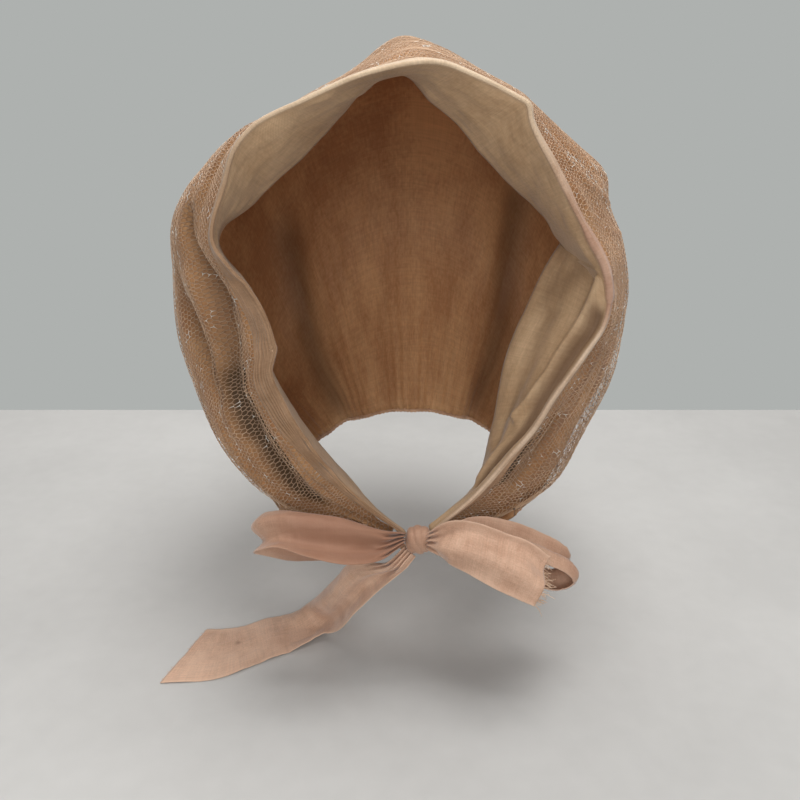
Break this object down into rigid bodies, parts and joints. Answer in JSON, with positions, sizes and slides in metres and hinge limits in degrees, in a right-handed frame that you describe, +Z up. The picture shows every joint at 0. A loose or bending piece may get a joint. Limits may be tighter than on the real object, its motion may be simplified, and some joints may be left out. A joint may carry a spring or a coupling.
{
  "type": "hair bonnet",
  "caption": "Soft net hair bonnet, open at the face and neck, with a gathered net cover, thin lining, folded face band and a ribbon bow tied under the chin.",
  "frame": {"origin": "top of the head's hollow, just under the lining of the crown, where the bonnet sits on the head", "axes": "+Z up, -Y out of the face opening, +X to the right seen from the front"},
  "size_m": [0.2206, 0.2226, 0.2751],
  "materials": {
    "net": "open hexagonal net with a fine metallic glint",
    "lining": "thin silk, satin sheen",
    "band": "close-woven silk, soft sheen",
    "hem": "rolled net, matt",
    "ribbon": "silk ribbon, satin sheen"
  },
  "bodies": {
    "root": {"net_cover": "net", "lining": "lining", "face_band": "band", "neck_hem": "hem", "bow_knot": "ribbon", "bow_loop_left": "ribbon", "bow_loop_right": "ribbon", "bow_tail_left": "ribbon", "bow_tail_right": "ribbon"}
  },
  "joints": []
}
